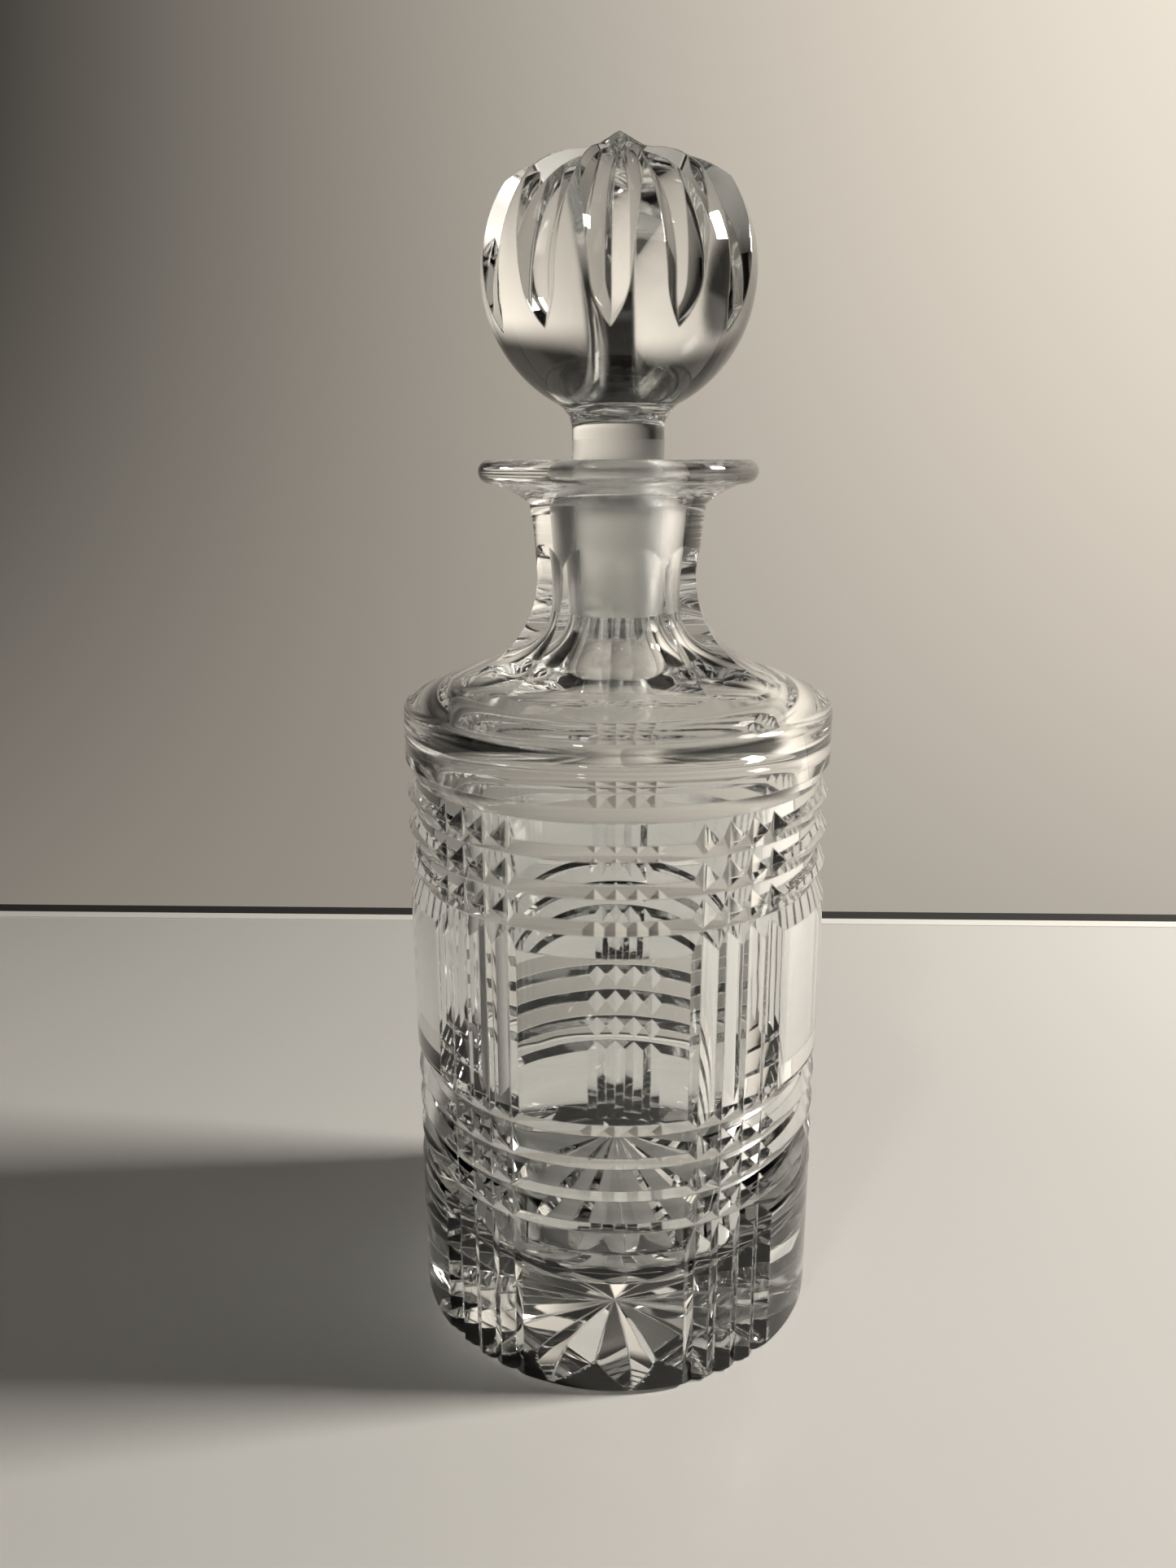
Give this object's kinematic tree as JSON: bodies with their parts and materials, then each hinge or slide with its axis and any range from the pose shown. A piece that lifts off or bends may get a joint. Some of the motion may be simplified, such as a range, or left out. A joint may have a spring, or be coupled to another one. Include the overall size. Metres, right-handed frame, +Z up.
{
  "type": "decanter",
  "caption": "Straight-sided cut crystal decanter with a flared lip, star-cut foot and a lift-out ball stopper.",
  "frame": {"origin": "on the decanter's axis, in the plane it stands on", "axes": "+Z up the axis to the stopper's tip; -Y is the front, the middle of a plain panel between two bands of upright cuts"},
  "size_m": [0.095, 0.095, 0.26],
  "materials": {
    "body_crystal": "clear lead crystal, blown, wheel cut and acid polished, with a ground bore",
    "stopper_crystal": "clear solid lead crystal, wheel cut and polished, with a finely ground plug"
  },
  "bodies": {
    "bottle": {"decanter_body": "body_crystal"},
    "stopper": {"ball_stopper": "stopper_crystal"}
  },
  "joints": [
    {"name": "stopper_lift", "type": "slide", "parent": "bottle", "child": "stopper", "axis": [0, 0, 1], "range_m": [0, 0.06]}
  ]
}
